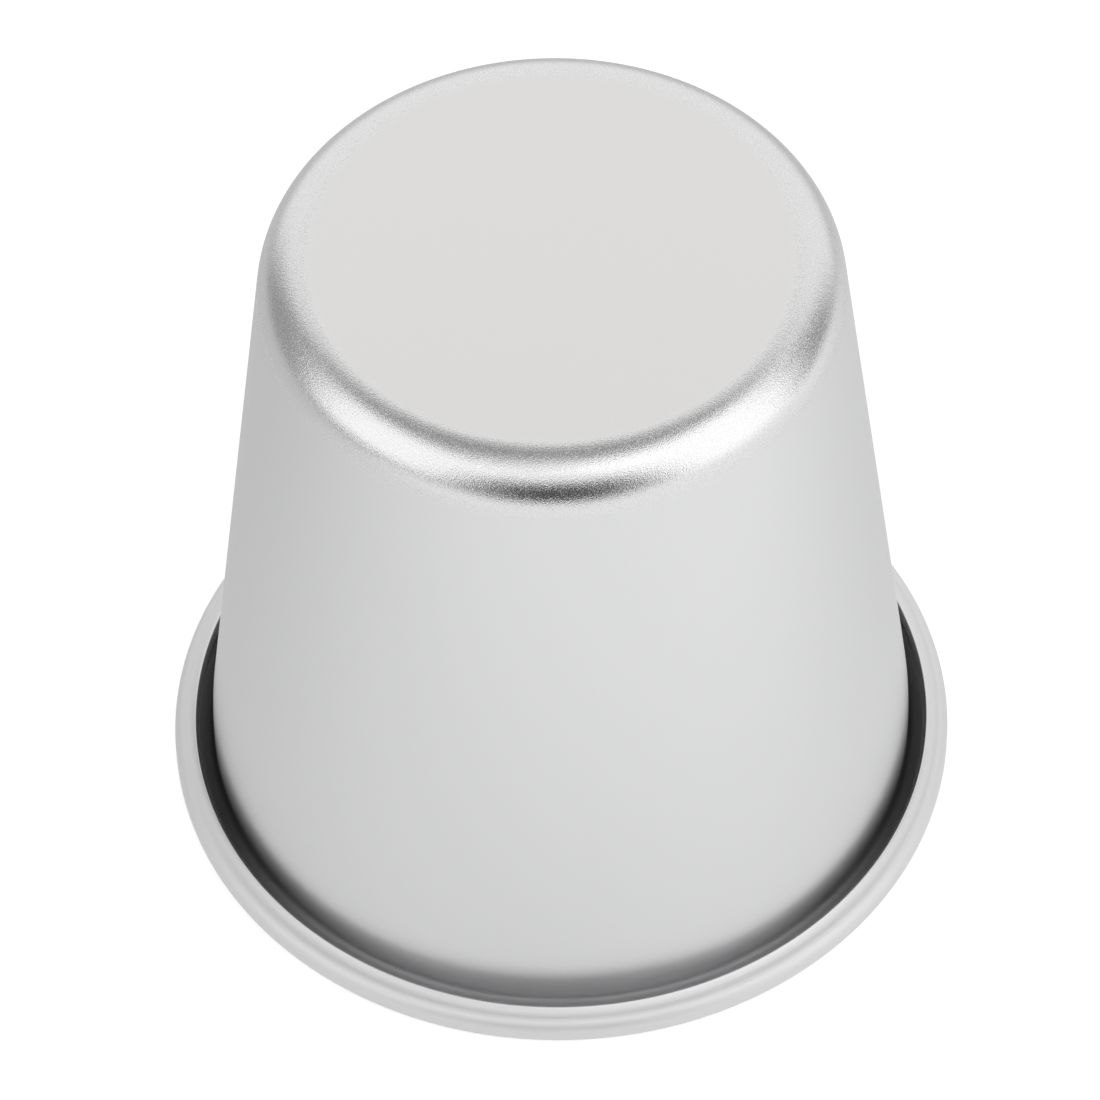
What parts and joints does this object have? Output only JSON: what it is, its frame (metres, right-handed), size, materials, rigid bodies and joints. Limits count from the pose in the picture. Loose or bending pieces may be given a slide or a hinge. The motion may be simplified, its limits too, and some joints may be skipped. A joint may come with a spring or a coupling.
{
  "type": "dariole mould",
  "caption": "Small tapered round baking mould with a flat base, rounded base corner and rolled rim, standing mouth down; holds batter, custard or jelly to be set and turned out.",
  "frame": {"origin": "on the axis, in the plane that the rim stands on when the mould is turned mouth down", "axes": "+Z along the axis, from the rim up to the closed base; X and Y are free, because the mould is round"},
  "size_m": [0.075, 0.075, 0.0696],
  "materials": {
    "satin_aluminium": "satin drawn aluminium, matt on the base and wall, brighter and finely grained on the base corner, with fine tool lines round the rim",
    "rim_wire_steel": "plain drawn wire, dull and dark in the rolled rim"
  },
  "bodies": {
    "root": {"mould_shell": "satin_aluminium", "rim_wire": "rim_wire_steel"}
  },
  "joints": []
}
